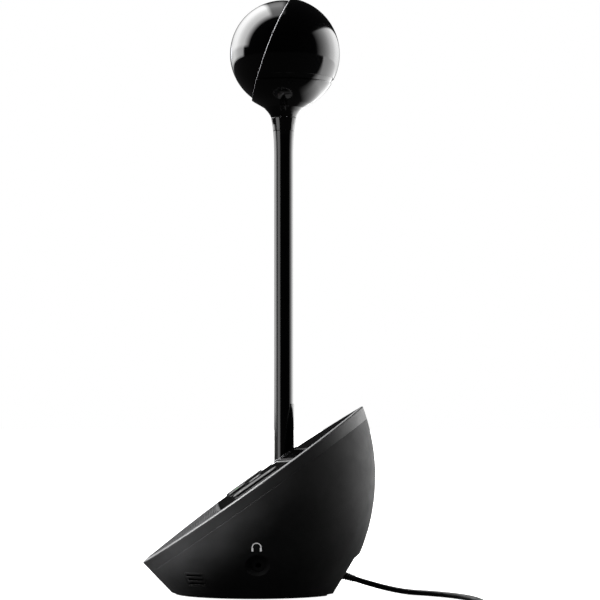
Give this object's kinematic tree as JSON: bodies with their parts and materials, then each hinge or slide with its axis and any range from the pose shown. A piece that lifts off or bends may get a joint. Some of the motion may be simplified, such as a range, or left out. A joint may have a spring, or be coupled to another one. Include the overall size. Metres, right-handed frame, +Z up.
{
  "type": "ptz camera",
  "caption": "Desktop conference camera: ball-shaped pan and tilt head on a tall stand, in a wedge speakerphone base with buttons and a cord.",
  "frame": {"origin": "centre of the footprint at table level, without the free cord", "axes": "+Z up, -Y the way the camera looks, +X the device's left side with the audio socket"},
  "size_m": [0.3137, 0.2165, 0.3857],
  "materials": {
    "housing": "fine satin texture",
    "grille": "matte, perforated",
    "gloss_black": "high gloss",
    "shell": "high gloss",
    "dome": "high gloss, smoked",
    "keys": "gloss",
    "bright_ring": "polished",
    "dark_plastic": "moulded",
    "rubber": "matte",
    "steel": "plated",
    "cast": "as cast",
    "paper": "pressed pulp",
    "board": "solder mask",
    "glass": "clear, coated",
    "gear": "moulded acetal",
    "cord": "satin"
  },
  "bodies": {
    "base": {"audio_jack": "dark_plastic", "ballast_plate": "cast", "base_plate": "dark_plastic", "base_screws": "steel", "board_chips": "dark_plastic", "button_cradles": "dark_plastic", "control_panel": "gloss_black", "foot_pad": "rubber", "lower_housing": "housing", "main_pcb": "board", "mic_modules": "steel", "mic_vents": "housing", "power_jack": "dark_plastic", "socket_collar": "bright_ring", "speaker_basket": "steel", "speaker_cone": "paper", "speaker_grille": "grille", "speaker_magnet": "cast", "speaker_surround": "rubber", "stand_socket": "dark_plastic", "tactile_switches": "steel", "top_bezel": "housing", "usb_cord_coil": "cord", "usb_cord_run": "cord", "usb_cord_tail": "cord", "usb_plug_body": "cord", "usb_plug_shell": "steel", "usb_strain_relief": "cord"},
    "stand": {"stand_tube": "gloss_black", "stand_foot_plug": "dark_plastic", "stand_top_socket": "dark_plastic", "stand_cable": "rubber", "stand_key": "gloss_black"},
    "head_mount": {"mount_ferrule": "gloss_black", "mount_plug": "dark_plastic", "pan_shaft": "steel"},
    "head": {"lower_yoke": "shell", "rear_shell": "shell", "tilt_gear": "gear"},
    "eyeball": {"front_dome": "dome", "rear_cap": "dome", "lens_window": "glass", "lens_bezel": "dark_plastic", "lens_barrel": "dark_plastic", "lens_elements": "glass", "eye_chassis": "dark_plastic", "sensor_board": "board", "tilt_motor": "steel"},
    "tilt_pinion": {"tilt_pinion": "gear"},
    "zoom_rocker": {"zoom_rocker": "keys"},
    "volume_rocker": {"volume_rocker": "keys"},
    "answer_button": {"answer_button": "keys"},
    "hangup_button": {"hangup_button": "keys"},
    "mute_button": {"mute_button": "keys"},
    "home_button": {"home_button": "keys"},
    "nav_pivot": {"nav_pivot": "dark_plastic"},
    "nav_pad": {"nav_pad": "keys"}
  },
  "joints": [
    {"name": "stand_lift", "type": "slide", "parent": "base", "child": "stand", "axis": [0, 0, 1], "range_m": [0, 0.03]},
    {"name": "head_lift", "type": "slide", "parent": "stand", "child": "head_mount", "axis": [0, 0, 1], "range_m": [0, 0.012]},
    {"name": "pan", "type": "hinge", "parent": "head_mount", "child": "head", "pos_m": [0, 0.0152, 0.311], "axis": [0, 0, 1], "range_deg": [-90, 90]},
    {"name": "tilt", "type": "hinge", "parent": "head", "child": "eyeball", "pos_m": [0, 0.0152, 0.3497], "axis": [-1, 0, 0], "range_deg": [-25, 30]},
    {"name": "tilt_pinion_spin", "type": "hinge", "parent": "eyeball", "child": "tilt_pinion", "pos_m": [0.0245, 0.02665, 0.3497], "axis": [-1, 0, 0], "range_deg": [-80, 80]},
    {"name": "answer_button_press", "type": "slide", "parent": "base", "child": "answer_button", "axis": [0, 0.5787, -0.8155], "range_m": [0, 0.0004], "stiffness_N_per_m": 600},
    {"name": "hangup_button_press", "type": "slide", "parent": "base", "child": "hangup_button", "axis": [0, 0.5787, -0.8155], "range_m": [0, 0.0004], "stiffness_N_per_m": 600},
    {"name": "mute_button_press", "type": "slide", "parent": "base", "child": "mute_button", "axis": [0, 0.5787, -0.8155], "range_m": [0, 0.0004], "stiffness_N_per_m": 600},
    {"name": "home_button_press", "type": "slide", "parent": "base", "child": "home_button", "axis": [0, 0.5787, -0.8155], "range_m": [0, 0.0004], "stiffness_N_per_m": 600},
    {"name": "zoom_rocker_tip", "type": "hinge", "parent": "base", "child": "zoom_rocker", "pos_m": [-0.057, 0.00151, 0.06854], "axis": [1, 0, 0], "range_deg": [-2, 2], "stiffness_Nm_per_rad": 0.3},
    {"name": "volume_rocker_tip", "type": "hinge", "parent": "base", "child": "volume_rocker", "pos_m": [0.057, 0.00151, 0.06854], "axis": [1, 0, 0], "range_deg": [-2, 2], "stiffness_Nm_per_rad": 0.3},
    {"name": "nav_side_tip", "type": "hinge", "parent": "base", "child": "nav_pivot", "pos_m": [0, -0.00501, 0.06391], "axis": [0, 0.8155, 0.5787], "range_deg": [-2, 2], "stiffness_Nm_per_rad": 0.3},
    {"name": "nav_fore_tip", "type": "hinge", "parent": "nav_pivot", "child": "nav_pad", "pos_m": [0, -0.00501, 0.06391], "axis": [1, 0, 0], "range_deg": [-2, 2], "stiffness_Nm_per_rad": 0.3}
  ],
  "couplings": [
    {"joint": "tilt_pinion_spin", "follows": "tilt", "ratio": 2.5}
  ]
}
